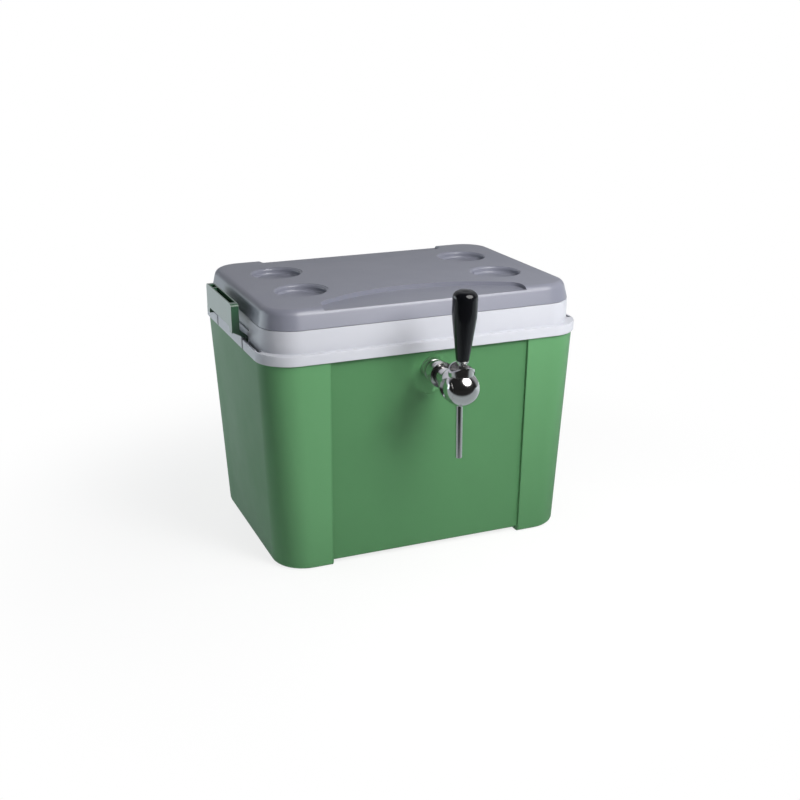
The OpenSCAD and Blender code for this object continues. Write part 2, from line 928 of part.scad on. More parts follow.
module spout_tube() {
    spout_top = bonnet_foot - 1;
    color([0.8, 0.8, 0.82])
        tap_centre()
            translate([0, spout_back, -ball_r - spout_len])
                ring(spout_r, spout_r - 1.2, ball_r + spout_len - spout_top);
}

// Lever pieces are drawn upright about the pivot, then leaned forward
module on_lever() {
    tap_centre()
        translate([0, 0, pivot_up])
            rotate([lever_lean, 0, 0])
                children();
}

module lever_pin() {
    color([0.75, 0.76, 0.78])
        tap_centre()
            translate([0, 0, pivot_up])
                rotate([0, 90, 0])
                    cylinder(r = 2.5, h = 2 * (cap_in + 4), center = true);
}

stem_rod_r = 3.5;
stem_in_grip = 32;
ferrule_up = bonnet_up - pivot_up + 0.3;
ferrule_h = 6.7;
stem_up = ferrule_up + ferrule_h + stem_in_grip;

module lever_stem() {
    color([0.78, 0.78, 0.8])
        on_lever()
            difference() {
                union() {
                    rotate([0, 90, 0])
                        cylinder(r = 6, h = 2 * (cap_in - 0.4), center = true);
                    cylinder(r = stem_rod_r, h = stem_up);
                    translate([0, 0, -pivot_up])
                        rotate([0, 90, 0])
                            cylinder(r = finger_r, h = 6, center = true);
                    translate([-3, -1.6, -pivot_up])
                        cube([6, 3.2, pivot_up]);
                }
                rotate([0, 90, 0])
                    cylinder(r = 2.5 + pin_fit, h = 4 * cap_in, center = true);
            }
}

module lever_ferrule() {
    color([0.82, 0.82, 0.84])
        on_lever()
            translate([0, 0, ferrule_up])
                rotate_extrude()
                    difference() {
                        polygon([[0, 0], [6, 0], [6.2, 0.5], [6.2, 3.3], [8.2, 4.1], [grip_base_r - 0.2, ferrule_h],
                            [0, ferrule_h]]);
                        translate([-cut, -cut])
                            square([stem_rod_r + thread_fit + cut, 2 * ferrule_h]);
                    }
}

module lever_grip() {
    taper = 0.62 * grip_len;
    edge = 9;
    dome_r = 26;
    bore_h = stem_up - ferrule_up - ferrule_h + 1;
    color([0.05, 0.05, 0.055])
        on_lever()
            translate([0, 0, ferrule_up + ferrule_h + 0.1])
                rotate_extrude()
                    difference() {
                        union() {
                            polygon([[0, 0], [grip_base_r - 0.6, 0], [grip_base_r, 0.8],
                                [grip_r - 0.4, taper], [grip_r, taper + 8], [grip_r - 0.1, grip_len - edge],
                                [0, grip_len - edge]]);
                            translate([grip_r - edge - 0.1, grip_len - edge])
                                circle(edge);
                            translate([0, grip_len - edge - cut])
                                square([grip_r - edge - 0.1, edge + cut]);
                            intersection() {
                                translate([0, grip_len + 1 - dome_r])
                                    circle(dome_r, $fn = 180);
                                translate([0, grip_len - edge])
                                    square([grip_r - edge - 0.1, 2 * edge]);
                            }
                        }
                        translate([-far, -cut])
                            square([far, far]);
                        translate([-cut, -cut])
                            square([stem_rod_r + thread_fit + cut, bore_h]);
                    }
}

// Plunger: closed, its washer is against the seat in the body. Its yoke holds the lever's finger
module valve_plunger() {
    head_t = 3;
    rest_shift = pivot_up * sin(lever_lean);
    yoke_s = tap_reach - rest_shift;
    color([0.75, 0.76, 0.78])
        difference() {
            outside(-1)
                union() {
                    translate([0, 0, seat_s - washer_t - head_t - 0.1])
                        cylinder(r = 5.4, h = head_t);
                    translate([0, 0, seat_s - washer_t - 1])
                        cylinder(r = rod_r, h = yoke_s - seat_s);
                    translate([0, 0, yoke_s - 6.5])
                        cylinder(r = yoke_r, h = 13);
                }
            translate([0, -wall_y - yoke_s, tap_z]) {
                translate([-2 * yoke_r, -far / 2, 1.3])
                    cube([4 * yoke_r, far, far]);
                translate([-2 * yoke_r, -finger_r - finger_fit, -finger_r - 0.5])
                    cube([4 * yoke_r, 2 * (finger_r + finger_fit), far]);
            }
        }
}

module valve_washer() {
    color([0.12, 0.12, 0.12])
        outside(-1)
            translate([0, 0, seat_s - washer_t])
                ring(6.6, rod_r + 0.02, washer_t - 0.05);
}

// Beer inlet through the back wall -------------------------------------------

inlet_flange_r = 14;
inlet_flange_t = 5;
inlet_s = washer_t + inlet_flange_r * tan(wall_lean) + 0.2;
inlet_nut_r = inlet_r + 5.5;
inlet_nut_t = 3.5;

module inlet_fitting() {
    tail = wall_y - (down_y + bend_r + coil_lead);
    color([0.78, 0.79, 0.8])
        outside(1)
            difference() {
                union() {
                    translate([0, 0, -tail])
                        cylinder(r = inlet_r, h = tail + inlet_s + 1);
                    translate([0, 0, inlet_s])
                        cylinder(r = inlet_flange_r, h = inlet_flange_t, $fn = 6);
                    translate([0, 0, inlet_s])
                        cylinder(r = stem_r, h = inlet_flange_t + stem_len);
                }
                translate([0, 0, -tail - cut])
                    cylinder(r = stem_r - 1.4, h = far);
            }
}

module inlet_washers() {
    color([0.1, 0.1, 0.1]) {
        outside(1)
            along_wall(1)
                translate([0, 0, 0.05])
                    ring(inlet_flange_r + 2, inlet_r + 0.3, washer_t);
        inside(1)
            along_wall(1)
                translate([0, 0, 0.05])
                    ring(inlet_nut_r + 1, inlet_r + 0.3, washer_t);
    }
}

module inlet_sleeve() {
    slant = inlet_hole_r * tan(wall_lean) + 0.3;
    color([0.7, 0.7, 0.72])
        outside(1)
            translate([0, 0, inner_y - wall_y + slant])
                ring(inlet_hole_r - 0.1, inlet_r + 0.1, wall_y - inner_y - 2 * slant);
}

module inlet_nut() {
    color([0.78, 0.7, 0.5])
        inside(1)
            translate([0, 0, washer_t + inlet_nut_r * tan(wall_lean) + 0.1])
                hex_nut(inlet_nut_r, inlet_r + thread_fit, inlet_nut_t);
}

module inlet_tail_nut() {
    color([0.78, 0.7, 0.5])
        tube_end(1)
            tail_nut(inlet_r, 4);
}

// Cooling coil ----------------------------------------------------------------

strap_t = 1.5;
strap_w = 11;
rings_per_turn = 24;
sides = 6;
coil_x = bend_r;
down_y = down_r;
coil_z0 = floor_z + tube_r + 0.3;
coil_turns = floor((tap_z - 2 * bend_r - coil_rise - coil_z0) / coil_pitch - 0.5);
coil_end = 180 + 360 * coil_turns;
coil_z1 = coil_z0 + coil_pitch * coil_end / 360;

function turn_r(a) = a < 180 ? coil_r + (down_y - coil_r) * (1 + cos(a)) / 2 : coil_r;
function turn_point(a) = [coil_x + turn_r(a) * sin(a), turn_r(a) * cos(a), coil_z0 + coil_pitch * a / 360];
function between(p, q, n) = [for (i = [1:n]) p + (q - p) * i / n];
function bend(middle, from, to) = [for (a = [15:15:90]) middle + bend_r * (from * cos(a) + to * sin(a))];

// The route of the tube: in at the back, down, round and up, and out to the shank
back_end = [0, down_y + bend_r + coil_lead, tap_z];
back_turn = [0, down_y + bend_r, tap_z];
down_foot = [0, down_y, coil_z0 + bend_r];
up_foot = [0, -coil_r, coil_z1 + bend_r];
up_top = [0, -coil_r, tap_z - bend_r];
front_end = [0, -shank_inner_end, tap_z];
route = concat(
    [back_end, back_turn],
    bend(back_turn - [0, 0, bend_r], [0, 0, 1], [0, -1, 0]),
    between([0, down_y, tap_z - bend_r], down_foot, 14),
    bend(down_foot + [bend_r, 0, 0], [-1, 0, 0], [0, 0, -1]),
    [for (a = [360 / rings_per_turn:360 / rings_per_turn:coil_end]) turn_point(a)],
    bend([coil_x, -coil_r, coil_z1 + bend_r], [0, 0, -1], [-1, 0, 0]),
    between(up_foot, up_top, 2),
    bend(up_top - [0, bend_r, 0], [0, 1, 0], [0, 0, 1]),
    [front_end]);

// Least gap of the tube to itself, measured on the route's points
skip = 6;
least_gap = min([for (i = [0:len(route) - skip - 1], j = [i + skip:len(route) - 1])
    norm(route[i] - route[j])]) - 2 * tube_r;
echo(str("least gap of the coil to itself, mm: ", least_gap));

function unit(v) = v / norm(v);
function heading(i) = unit(route[min(i + 1, len(route) - 1)] - route[max(i - 1, 0)]);
function carried(n, t) = unit(n - (n * t) * t);
headings = [for (i = [0:len(route) - 1]) heading(i)];
normals = [for (i = 0, n = [1, 0, 0]; i < len(route); i = i + 1,
    n = i < len(route) ? carried(n, headings[i]) : n) n];

module tube(points, ahead, across, r) {
    count = len(points);
    skin_points = [for (i = [0:count - 1], k = [0:sides - 1])
        points[i] + r * (cos(360 * k / sides) * across[i]
        + sin(360 * k / sides) * cross(ahead[i], across[i]))];
    skin_faces = [for (i = [0:count - 2], k = [0:sides - 1], half = [0, 1])
        let (a = i * sides + k, b = i * sides + (k + 1) % sides)
        half == 0 ? [a, a + sides, b] : [b, a + sides, b + sides]];
    last = (count - 1) * sides;
    ends = [for (k = [1:sides - 2], end = [0, 1])
        end == 0 ? [0, k, k + 1] : [last, last + k + 1, last + k]];
    polyhedron(skin_points, concat(skin_faces, ends));
}

module cooling_coil() {
    color([0.72, 0.74, 0.76])
        tube(route, headings, normals, tube_r);
}

// Three straps stand inside the coil and hook over its top turn
module coil_straps() {
    inner_r = coil_r * cos(180 / rings_per_turn) - tube_r - 0.3;
    color([0.7, 0.72, 0.74])
        for (a = [60, 180 + 60, 360 - 60]) {
            top_turn = coil_z1 - coil_pitch * (coil_end - a - 360 * floor((coil_end - a) / 360)) / 360;
            hook_z = top_turn + tube_r + 0.4;
            foot_z = floor_z + seat_gap;
            translate([coil_x, 0, 0])
                rotate([0, 0, 90 - a]) {
                    translate([inner_r - strap_t, -strap_w / 2, foot_z])
                        cube([strap_t, strap_w, hook_z - foot_z + strap_t]);
                    translate([inner_r - strap_t, -strap_w / 2, hook_z])
                        cube([coil_r + tube_r + 0.3 + 2 * strap_t - inner_r, strap_w, strap_t]);
                    translate([coil_r + tube_r + 0.3, -strap_w / 2, hook_z - 2 * coil_pitch])
                        cube([strap_t, strap_w, 2 * coil_pitch + strap_t]);
                }
        }
}

outer_shell();
foam_insulation();
inner_liner();
handle_pins();
left_handle();
right_handle();
lid_shell();
lid_foam();
lid_liner();
clear_washer();
shank_sleeve();
tap_shank();
wall_flange();
flange_ring();
coupling_nut();
tap_body();
barrel_ring();
side_caps();
bonnet();
spout_tube();
valve_plunger();
valve_washer();
lever_pin();
lever_stem();
lever_ferrule();
lever_grip();
inner_washer();
shank_nut();
shank_tail_nut();
cooling_coil();
coil_straps();
inlet_fitting();
inlet_washers();
inlet_sleeve();
inlet_nut();
inlet_tail_nut();
tube_seals();
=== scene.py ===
# Jockey box beer cooler: an insulated plastic box with a chrome beer tap on its front wall,
# a coil of stainless tube in its ice space, a lift-off lid and two folding side handles.

import math
import bmesh
import bpy
from mathutils import Matrix, Vector


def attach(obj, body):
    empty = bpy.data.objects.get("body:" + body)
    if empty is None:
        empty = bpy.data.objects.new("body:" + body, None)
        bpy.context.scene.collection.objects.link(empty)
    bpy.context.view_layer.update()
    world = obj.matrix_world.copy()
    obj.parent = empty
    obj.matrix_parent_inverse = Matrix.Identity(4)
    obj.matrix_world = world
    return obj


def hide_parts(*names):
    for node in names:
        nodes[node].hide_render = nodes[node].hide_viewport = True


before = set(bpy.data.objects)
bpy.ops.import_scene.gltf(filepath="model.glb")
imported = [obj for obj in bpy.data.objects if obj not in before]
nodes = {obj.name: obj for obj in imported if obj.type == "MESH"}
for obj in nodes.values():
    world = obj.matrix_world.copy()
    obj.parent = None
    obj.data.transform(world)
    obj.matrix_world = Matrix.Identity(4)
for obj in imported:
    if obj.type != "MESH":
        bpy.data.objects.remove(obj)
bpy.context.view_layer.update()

scene = bpy.context.scene
scene.view_settings.view_transform = "Standard"

# Camera ---------------------------------------------------------------------------------
# It stands in front of the box and to its left, a little above the lid, and looks down at
# the middle of the tub. The lens is a short telephoto, so the box's edges converge gently.
camera_data = bpy.data.cameras.new("camera")
camera_data.sensor_width = 36.0
camera_data.lens = 53.85
camera_data.clip_start = 0.05
camera_data.clip_end = 60.0
camera = bpy.data.objects.new("camera", camera_data)
scene.collection.objects.link(camera)
scene.camera = camera
camera_ahead = Vector((0.3564, 0.8775, -0.3209)).normalized()
camera_right = camera_ahead.cross(Vector((0, 0, 1))).normalized()
camera_up = camera_right.cross(camera_ahead)
camera_roll = math.radians(-0.26)
rolled_right = math.cos(camera_roll) * camera_right + math.sin(camera_roll) * camera_up
rolled_up = math.cos(camera_roll) * camera_up - math.sin(camera_roll) * camera_right
camera_turn = Matrix((rolled_right, rolled_up, -camera_ahead)).transposed()
camera.matrix_world = Matrix.Translation((-0.6222, -1.5850, 0.7510)) @ camera_turn.to_4x4()


# Studio ---------------------------------------------------------------------------------
# The box stands on white paper before a white backdrop, and the side behind the camera is
# dark. Two round soft lamps light its front and lid from above, a large one its left side,
# a weak one its right side and one its back.
toward_camera = (-0.376, -0.927, 0.0)


def new_material(name):
    """An empty material and its node tree."""
    material = bpy.data.materials.new(name)
    material.use_nodes = True
    material.node_tree.nodes.clear()
    return material, material.node_tree


def add(tree, kind, **values):
    """A new node, with its properties or its unlinked inputs set by name."""
    node = tree.nodes.new(kind)
    for key, value in values.items():
        if hasattr(node, key):
            setattr(node, key, value)
        else:
            node.inputs[key.replace("_", " ")].default_value = value
    return node


def along_camera(tree, place, near, far, at_near, at_far):
    """A value that goes from at_near to at_far over a stretch that leads to the camera."""
    reach = add(tree, "ShaderNodeVectorMath", operation="DOT_PRODUCT")
    reach.inputs[1].default_value = toward_camera
    tree.links.new(place, reach.inputs[0])
    ramp = add(tree, "ShaderNodeMapRange", interpolation_type="SMOOTHSTEP")
    ramp.inputs["From Min"].default_value = near
    ramp.inputs["From Max"].default_value = far
    ramp.inputs["To Min"].default_value = at_near
    ramp.inputs["To Max"].default_value = at_far
    tree.links.new(reach.outputs["Value"], ramp.inputs["Value"])
    return ramp.outputs["Result"]


def mixed(tree, amount, first, second):
    """A mix of two shaders; amount is a socket."""
    mix = add(tree, "ShaderNodeMixShader")
    tree.links.new(amount, mix.inputs["Fac"])
    tree.links.new(first.outputs[0], mix.inputs[1])
    tree.links.new(second.outputs[0], mix.inputs[2])
    return mix


def seen_directly(tree):
    """1 for what the camera sees, also through clear plastic, and 0 otherwise."""
    path = add(tree, "ShaderNodeLightPath")
    either = add(tree, "ShaderNodeMath", operation="MAXIMUM")
    tree.links.new(path.outputs["Is Camera Ray"], either.inputs[0])
    tree.links.new(path.outputs["Is Transmission Ray"], either.inputs[1])
    return either.outputs[0]


# The paper keeps a faint shadow close to the box and is plain white farther away. Mirrored, it
# is a cool grey that ends a short way in front of the tap.
floor_mesh = bpy.data.meshes.new("floor")
floor_half = 9
floor_drop = 0.0004
floor_corners = [(-floor_half, -floor_half, 0), (floor_half, -floor_half, 0),
                 (floor_half, floor_half, 0), (-floor_half, floor_half, 0)]
floor_mesh.from_pydata(floor_corners, [], [(0, 1, 2, 3)])
floor = bpy.data.objects.new("floor", floor_mesh)
floor.location.z = -floor_drop
scene.collection.objects.link(floor)
floor_paint, floor_tree = new_material("floor_paint")
floor_place = add(floor_tree, "ShaderNodeNewGeometry")
floor_matte = add(floor_tree, "ShaderNodeBsdfDiffuse")
floor_matte.inputs["Color"].default_value = (0.9, 0.9, 0.9, 1)
floor_white = add(floor_tree, "ShaderNodeEmission", Strength=1.0)
floor_reach = add(floor_tree, "ShaderNodeVectorMath", operation="LENGTH")
floor_tree.links.new(floor_place.outputs["Position"], floor_reach.inputs[0])
floor_fade = add(floor_tree, "ShaderNodeMapRange", interpolation_type="SMOOTHSTEP")
floor_fade.inputs["From Min"].default_value = 0.3
floor_fade.inputs["From Max"].default_value = 0.75
floor_fade.inputs["To Min"].default_value = 0.8
floor_fade.inputs["To Max"].default_value = 1.0
floor_tree.links.new(floor_reach.outputs["Value"], floor_fade.inputs["Value"])
floor_direct = mixed(floor_tree, floor_fade.outputs["Result"], floor_matte, floor_white)
floor_paper = add(floor_tree, "ShaderNodeEmission")
floor_paper.inputs["Color"].default_value = (0.88, 0.97, 1.0, 1)
floor_tree.links.new(along_camera(floor_tree, floor_place.outputs["Position"], -0.6, 0.4, 0.85, 0.4),
                     floor_paper.inputs["Strength"])
floor_dark = add(floor_tree, "ShaderNodeEmission", Strength=0.02)
floor_end = along_camera(floor_tree, floor_place.outputs["Position"], 0.5, 0.8, 0.0, 1.0)
floor_mirrored = mixed(floor_tree, floor_end, floor_paper, floor_dark)
floor_path = add(floor_tree, "ShaderNodeLightPath")
floor_other = mixed(floor_tree, floor_path.outputs["Is Glossy Ray"], floor_matte, floor_mirrored)
floor_all = mixed(floor_tree, seen_directly(floor_tree), floor_other, floor_direct)
floor_out = add(floor_tree, "ShaderNodeOutputMaterial")
floor_tree.links.new(floor_all.outputs[0], floor_out.inputs["Surface"])
floor_mesh.materials.append(floor_paint)

world = bpy.data.worlds.new("studio")
scene.world = world
world.use_nodes = True
world_tree = world.node_tree
world_tree.nodes.clear()
room_light = add(world_tree, "ShaderNodeBackground", Strength=0.13)
room_light.inputs["Color"].default_value = (0.95, 0.97, 1.0, 1)
room_white = add(world_tree, "ShaderNodeBackground", Strength=1.0)
room_white.inputs["Color"].default_value = (1, 1, 1, 1)
room_back = add(world_tree, "ShaderNodeBackground", Strength=0.4)
room_back.inputs["Color"].default_value = (0.93, 0.95, 1.0, 1)
room_dark = add(world_tree, "ShaderNodeBackground", Strength=0.02)
room_way = add(world_tree, "ShaderNodeTexCoord")
room_front = along_camera(world_tree, room_way.outputs["Generated"], -0.5, -0.1, 0.0, 1.0)
room_mirrored = mixed(world_tree, room_front, room_back, room_dark)
room_path = add(world_tree, "ShaderNodeLightPath")
room_other = mixed(world_tree, room_path.outputs["Is Glossy Ray"], room_light, room_mirrored)
room_all = mixed(world_tree, seen_directly(world_tree), room_other, room_white)
room_out = add(world_tree, "ShaderNodeOutputWorld")
world_tree.links.new(room_all.outputs[0], room_out.inputs["Surface"])


def soft_lamp(name, place, target, size, watts, tint, mirrored=True):
    """A round or oval lamp that faces target; mirrored lamps also show in glossy surfaces."""
    lamp_data = bpy.data.lights.new(name, "AREA")
    lamp_data.shape = "ELLIPSE"
    lamp_data.size = size[0]
    lamp_data.size_y = size[1]
    lamp_data.energy = watts
    lamp_data.color = tint
    lamp = bpy.data.objects.new(name, lamp_data)
    scene.collection.objects.link(lamp)
    lamp.location = place
    lamp.rotation_euler = (Vector(target) - Vector(place)).to_track_quat("-Z", "Y").to_euler()
    lamp.visible_glossy = mirrored


lid_front = (0.0, -0.26, 0.27)
box_middle = (0.0, 0.0, 0.25)
left_middle = (0.0, 0.0, 0.2)
near_white = (1.0, 1.0, 0.99)
soft_lamp("key_lamp", (0.31, -0.85, 1.05), lid_front, (0.9, 0.9), 11, (1.0, 0.99, 0.98))
soft_lamp("fill_lamp", (0.38, -1.15, 1.05), box_middle, (0.5, 0.5), 11, near_white, mirrored=False)
soft_lamp("right_lamp", (1.4, -0.3, 0.8), box_middle, (0.5, 0.5), 3.5, near_white, mirrored=False)
soft_lamp("left_lamp", (-1.35, 0.9, 0.45), left_middle, (1.5, 0.85), 7, (0.84, 0.94, 1.0))
soft_lamp("back_lamp", (-0.1, 1.7, 0.5), box_middle, (1.0, 0.8), 14, (0.97, 0.98, 1.0),
          mirrored=False)


# Tub ------------------------------------------------------------------------------------
# The outer skin is one green moulding with sunk front and back panels between its corner
# posts. The light foam behind it is poured in through the base after the liner is set in.
def surface_group(name, inputs, outputs):
    """A node group of number sockets, with its input and output nodes."""
    group = bpy.data.node_groups.new(name, "ShaderNodeTree")
    for label, value in inputs:
        socket = group.interface.new_socket(label, in_out="INPUT", socket_type="NodeSocketFloat")
        socket.default_value = value
    for label in outputs:
        group.interface.new_socket(label, in_out="OUTPUT", socket_type="NodeSocketFloat")
    return group, group.nodes.new("NodeGroupInput"), group.nodes.new("NodeGroupOutput")


def maths(tree, operation, a, b=None, clamp=False):
    """A Math node; a and b are sockets or numbers."""
    node = add(tree, "ShaderNodeMath", operation=operation, use_clamp=clamp)
    for i, value in enumerate((a, b)):
        if value is None:
            continue
        if isinstance(value, (int, float)):
            node.inputs[i].default_value = value
        else:
            tree.links.new(value, node.inputs[i])
    return node.outputs[0]


def noise(tree, scale, detail=2.0, rough=0.5, place=None):
    """Noise in the piece's own space, or at place; scale is a socket or a number."""
    node = add(tree, "ShaderNodeTexNoise", Detail=detail, Roughness=rough)
    if isinstance(scale, (int, float)):
        node.inputs["Scale"].default_value = scale
    else:
        tree.links.new(scale, node.inputs["Scale"])
    if place is None:
        place = add(tree, "ShaderNodeTexCoord").outputs["Object"]
    tree.links.new(place, node.inputs["Vector"])
    return node.outputs["Fac"]


# All moulded plastic has a fine even grain and cloudy patches of gloss. Handling rubs its
# edges pale, and dust settles on what faces up. Each effect is one node group.
grain_group, g_in, g_out = surface_group(
    "moulded_grain", [("Grain Scale", 1800.0), ("Cloud Scale", 9.0)], ["Height", "Cloud"])
grain_fine = noise(grain_group, g_in.outputs["Grain Scale"], 1.0)
grain_cloud = noise(grain_group, g_in.outputs["Cloud Scale"], 4.0, 0.6)
wave_scale = 60.0
wave_share = 0.4
grain_wave = noise(grain_group, wave_scale, 1.0)
grain_group.links.new(
    maths(grain_group, "ADD", maths(grain_group, "MULTIPLY", grain_fine, 1 - wave_share),
          maths(grain_group, "MULTIPLY", grain_wave, wave_share)), g_out.inputs["Height"])
grain_group.links.new(grain_cloud, g_out.inputs["Cloud"])

wear_group, w_in, w_out = surface_group(
    "edge_wear", [("Radius", 0.002), ("Breakup Scale", 160.0), ("Amount", 0.5)], ["Mask"])
wear_round = add(wear_group, "ShaderNodeBevel", samples=8)
wear_group.links.new(w_in.outputs["Radius"], wear_round.inputs["Radius"])
wear_geometry = add(wear_group, "ShaderNodeNewGeometry")
wear_dot = add(wear_group, "ShaderNodeVectorMath", operation="DOT_PRODUCT")
wear_group.links.new(wear_round.outputs["Normal"], wear_dot.inputs[0])
wear_group.links.new(wear_geometry.outputs["Normal"], wear_dot.inputs[1])
edge_gain = 6.0
break_floor = 0.38
break_gain = 4.0
wear_bent = maths(wear_group, "SUBTRACT", 1.0, wear_dot.outputs["Value"])
wear_edge = maths(wear_group, "MULTIPLY", wear_bent, edge_gain, True)
wear_cloud = noise(wear_group, w_in.outputs["Breakup Scale"], 3.0)
wear_rise = maths(wear_group, "SUBTRACT", wear_cloud, break_floor)
wear_break = maths(wear_group, "MULTIPLY", wear_rise, break_gain, True)
wear_both = maths(wear_group, "MULTIPLY", wear_edge, wear_break)
wear_group.links.new(maths(wear_group, "MULTIPLY", wear_both, w_in.outputs["Amount"], True),
                     w_out.inputs["Mask"])

dust_group, d_in, d_out = surface_group("settled_dust", [("Amount", 0.2)], ["Mask"])
dust_geometry = add(dust_group, "ShaderNodeNewGeometry")
dust_split = add(dust_group, "ShaderNodeSeparateXYZ")
dust_group.links.new(dust_geometry.outputs["Normal"], dust_split.inputs[0])
tilt_gain = 1.6
tilt_floor = 0.6
fleck_scale = 420.0
fleck_gain = 2.2
fleck_floor = 0.85
dust_tilt = maths(dust_group, "MULTIPLY", dust_split.outputs["Z"], tilt_gain)
dust_up = maths(dust_group, "SUBTRACT", dust_tilt, tilt_floor, True)
dust_spots = maths(dust_group, "MULTIPLY", noise(dust_group, fleck_scale, 3.0), fleck_gain)
dust_fleck = maths(dust_group, "SUBTRACT", dust_spots, fleck_floor, True)
dust_both = maths(dust_group, "MULTIPLY", dust_up, dust_fleck)
dust_group.links.new(maths(dust_group, "MULTIPLY", dust_both, d_in.outputs["Amount"]),
                     d_out.inputs["Mask"])


def placed(tree, group, **values):
    """A group placed in a material, with its own values."""
    node = tree.nodes.new("ShaderNodeGroup")
    node.node_tree = group
    for key, value in values.items():
        node.inputs[key.replace("_", " ")].default_value = value
    return node


def blend_colour(tree, amount, first, second):
    """Mixes two colours, each a socket or three numbers."""
    mix = add(tree, "ShaderNodeMix", data_type="RGBA")
    tree.links.new(amount, mix.inputs["Factor"])
    for label, value in (("A", first), ("B", second)):
        socket = [s for s in mix.inputs if s.name == label and s.type == "RGBA"][0]
        if isinstance(value, tuple):
            socket.default_value = (*value, 1)
        else:
            tree.links.new(value, socket)
    return [s for s in mix.outputs if s.type == "RGBA"][0]


def spread(tree, value, low, high):
    """Maps the middle of a 0 to 1 noise to the range from low to high."""
    node = add(tree, "ShaderNodeMapRange", clamp=True)
    node.inputs["From Min"].default_value = 0.3
    node.inputs["From Max"].default_value = 0.7
    node.inputs["To Min"].default_value = low
    node.inputs["To Max"].default_value = high
    tree.links.new(value, node.inputs["Value"])
    return node.outputs["Result"]


def surface(tree, **values):
    """The Principled shader with its output; values are set on its own sockets."""
    shader = add(tree, "ShaderNodeBsdfPrincipled")
    for key, value in values.items():
        shader.inputs[key.replace("_", " ")].default_value = value
    out = add(tree, "ShaderNodeOutputMaterial")
    tree.links.new(shader.outputs[0], out.inputs["Surface"])
    return shader


def bumped(tree, shader, height, distance):
    """Bump of a given depth in metres."""
    bump = add(tree, "ShaderNodeBump", Strength=1.0, Distance=distance)
    tree.links.new(height, bump.inputs["Height"])
    tree.links.new(bump.outputs["Normal"], shader.inputs["Normal"])


dust_tone = (0.66, 0.64, 0.6)
plastic_grain = 0.00002


def moulded_plastic(name, colour, deep, worn, gloss, wear=0.35, dust=0.12, shine=0.45, coat=0.0):
    """Satin moulded plastic: colour and deep are its cloudy tones, worn its rubbed edges."""
    material, tree = new_material(name)
    shader = surface(tree, Specular_IOR_Level=shine, Coat_Weight=coat, Coat_Roughness=0.28,
                     Coat_IOR=1.5)
    skin = placed(tree, grain_group, Grain_Scale=1400.0, Cloud_Scale=7.0)
    rubbed = placed(tree, wear_group, Radius=0.0016, Amount=wear)
    dusty = placed(tree, dust_group, Amount=dust)
    body = blend_colour(tree, skin.outputs["Cloud"], deep, colour)
    body = blend_colour(tree, rubbed.outputs["Mask"], body, worn)
    body = blend_colour(tree, dusty.outputs["Mask"], body, dust_tone)
    tree.links.new(body, shader.inputs["Base Color"])
    rough = spread(tree, skin.outputs["Cloud"], gloss - 0.05, gloss + 0.06)
    tree.links.new(rough, shader.inputs["Roughness"])
    bumped(tree, shader, skin.outputs["Height"], plastic_grain)
    return material


def lightened(material, mask_group, colour):
    """Turns a plastic's colour toward another where a group's mask is 1."""
    tree = material.node_tree
    base = [n for n in tree.nodes if n.type == "BSDF_PRINCIPLED"][0].inputs["Base Color"]
    zone = placed(tree, mask_group)
    body = base.links[0].from_socket
    tree.links.new(blend_colour(tree, zone.outputs["Mask"], body, colour), base)


def paint(material, *node_names):
    """Gives CAD nodes one material."""
    for node_name in node_names:
        mesh = nodes[node_name].data
        mesh.materials.clear()
        mesh.materials.append(material)


sharp_angle = 28


def soften(node_name, width, segments=3, merge=0.00003, flat=0.4):
    """Rounds a node's sharp edges and shades it smooth.

    Points closer than merge are joined, and faces within flat degrees of each other too."""
    node = nodes[node_name]
    mesh = node.data
    if "custom_normal" in mesh.attributes:
        mesh.attributes.remove(mesh.attributes["custom_normal"])
    if "sharp_edge" in mesh.attributes:
        mesh.attributes.remove(mesh.attributes["sharp_edge"])
    mesh.polygons.foreach_set("use_smooth", [True] * len(mesh.polygons))
    weld = node.modifiers.new("weld", "WELD")
    weld.merge_threshold = merge
    if flat:
        planar = node.modifiers.new("planar", "DECIMATE")
        planar.decimate_type = "DISSOLVE"
        planar.angle_limit = math.radians(flat)
    round_edges = node.modifiers.new("round_edges", "BEVEL")
    round_edges.width = width
    round_edges.segments = segments
    round_edges.limit_method = "ANGLE"
    round_edges.angle_limit = math.radians(sharp_angle)
    round_edges.harden_normals = True
    round_edges.miter_outer = "MITER_ARC"


tub_green = moulded_plastic(
    "tub_green", (0.074, 0.212, 0.086), (0.064, 0.186, 0.076), (0.15, 0.3, 0.17), 0.44, shine=0.3)

# Painted sheen: the corner posts are painted a lighter green where light falls on them, the
# right-hand ones only toward their tops.
post_sheen_group, post_in, post_out = surface_group(
    "post_painted_sheen", [("Side", 0.144), ("Face", 0.146), ("Foot", 0.45), ("Rise", 3.2), ("Lean", 2.6)],
    ["Mask"])
post_place = add(post_sheen_group, "ShaderNodeTexCoord")
post_split = add(post_sheen_group, "ShaderNodeSeparateXYZ")
post_sheen_group.links.new(post_place.outputs["Object"], post_split.inputs[0])
post_x = maths(post_sheen_group, "ABSOLUTE", post_split.outputs["X"])
post_y = maths(post_sheen_group, "ABSOLUTE", post_split.outputs["Y"])
post_beside = maths(post_sheen_group, "SUBTRACT", post_x, post_in.outputs["Side"])
post_ahead = maths(post_sheen_group, "SUBTRACT", post_y, post_in.outputs["Face"])
post_lift = maths(post_sheen_group, "MULTIPLY", post_split.outputs["Z"], post_in.outputs["Rise"])
post_rise = maths(post_sheen_group, "ADD", post_lift, post_in.outputs["Foot"])
post_lean = maths(post_sheen_group, "MULTIPLY", post_split.outputs["X"], post_in.outputs["Lean"])
post_height = maths(post_sheen_group, "SUBTRACT", post_rise, post_lean, True)
side_gain = 400.0
face_gain = 60.0
post_on_side = maths(post_sheen_group, "MULTIPLY", post_beside, side_gain, True)
post_on_face = maths(post_sheen_group, "MULTIPLY", post_ahead, face_gain, True)
post_strips = maths(post_sheen_group, "MULTIPLY", post_on_side, post_on_face)
